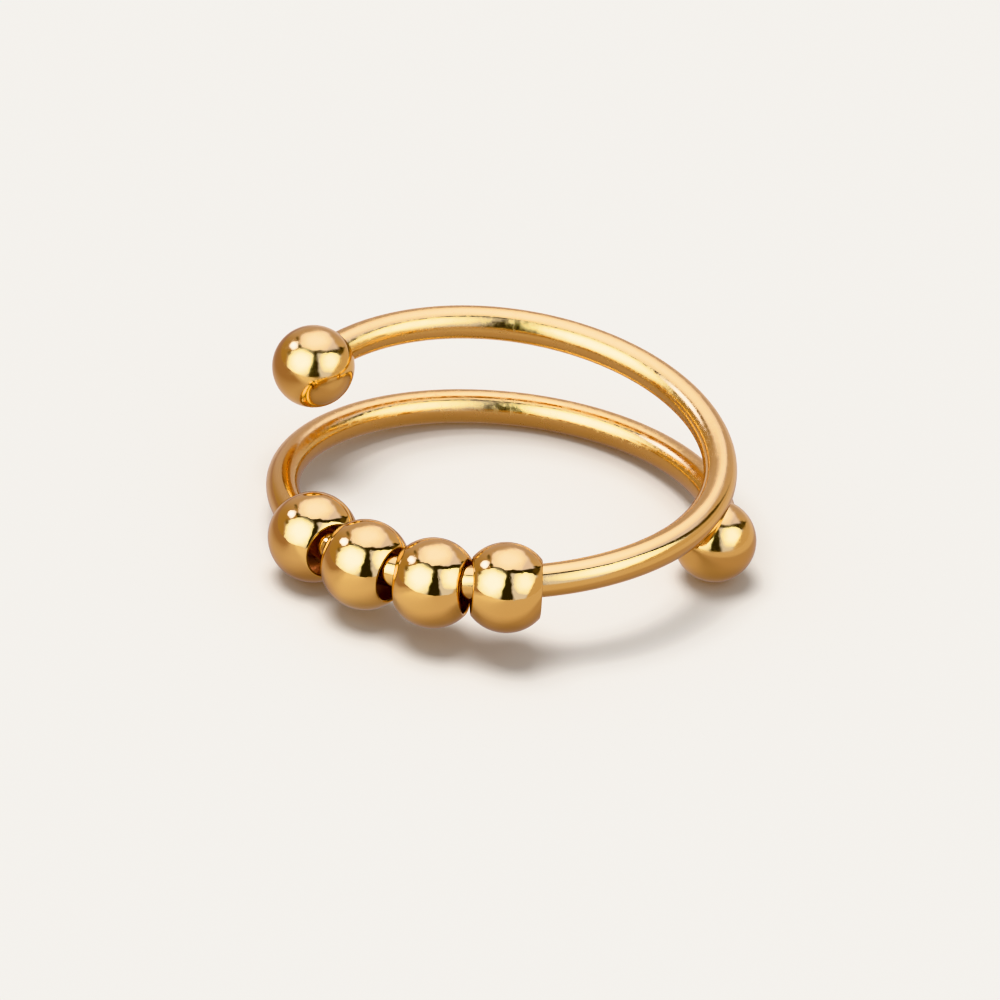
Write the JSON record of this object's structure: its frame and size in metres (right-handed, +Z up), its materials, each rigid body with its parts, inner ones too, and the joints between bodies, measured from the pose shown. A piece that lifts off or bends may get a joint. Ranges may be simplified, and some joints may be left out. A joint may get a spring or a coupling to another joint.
{
  "type": "beaded ring",
  "caption": "Open wrap finger ring of round wire with a ball on each end and loose round beads that slide along its front.",
  "frame": {"origin": "middle of the ring's outline, on the surface it lies on", "axes": "+Z up and along the ring's axis as it lies on its side, -Y towards the beads, +X towards the lower end ball"},
  "size_m": [0.0216, 0.022, 0.0069],
  "materials": {
    "wire_gold": "mirror polished gold plate",
    "bead_gold": "mirror polished gold plate"
  },
  "bodies": {
    "band": {"band": "wire_gold"},
    "bead_1": {"bead_1": "bead_gold"},
    "bead_2": {"bead_2": "bead_gold"},
    "bead_3": {"bead_3": "bead_gold"},
    "bead_4": {"bead_4": "bead_gold"}
  },
  "joints": [
    {"name": "bead_1_slide", "type": "hinge", "parent": "band", "child": "bead_1", "pos_m": [-0.0005, 0.00062, 0.0027], "axis": [-0.0939, 0.0698, 0.9931], "range_deg": [-4, 10]},
    {"name": "bead_2_slide", "type": "hinge", "parent": "bead_1", "child": "bead_2", "pos_m": [-0.0005, 0.00062, 0.0027], "axis": [-0.0939, 0.0698, 0.9931], "range_deg": [0, 8]},
    {"name": "bead_3_slide", "type": "hinge", "parent": "bead_2", "child": "bead_3", "pos_m": [-0.0005, 0.00062, 0.0027], "axis": [-0.0939, 0.0698, 0.9931], "range_deg": [0, 8]},
    {"name": "bead_4_slide", "type": "hinge", "parent": "bead_3", "child": "bead_4", "pos_m": [-0.0005, 0.00062, 0.0027], "axis": [-0.0939, 0.0698, 0.9931], "range_deg": [0, 8]}
  ]
}
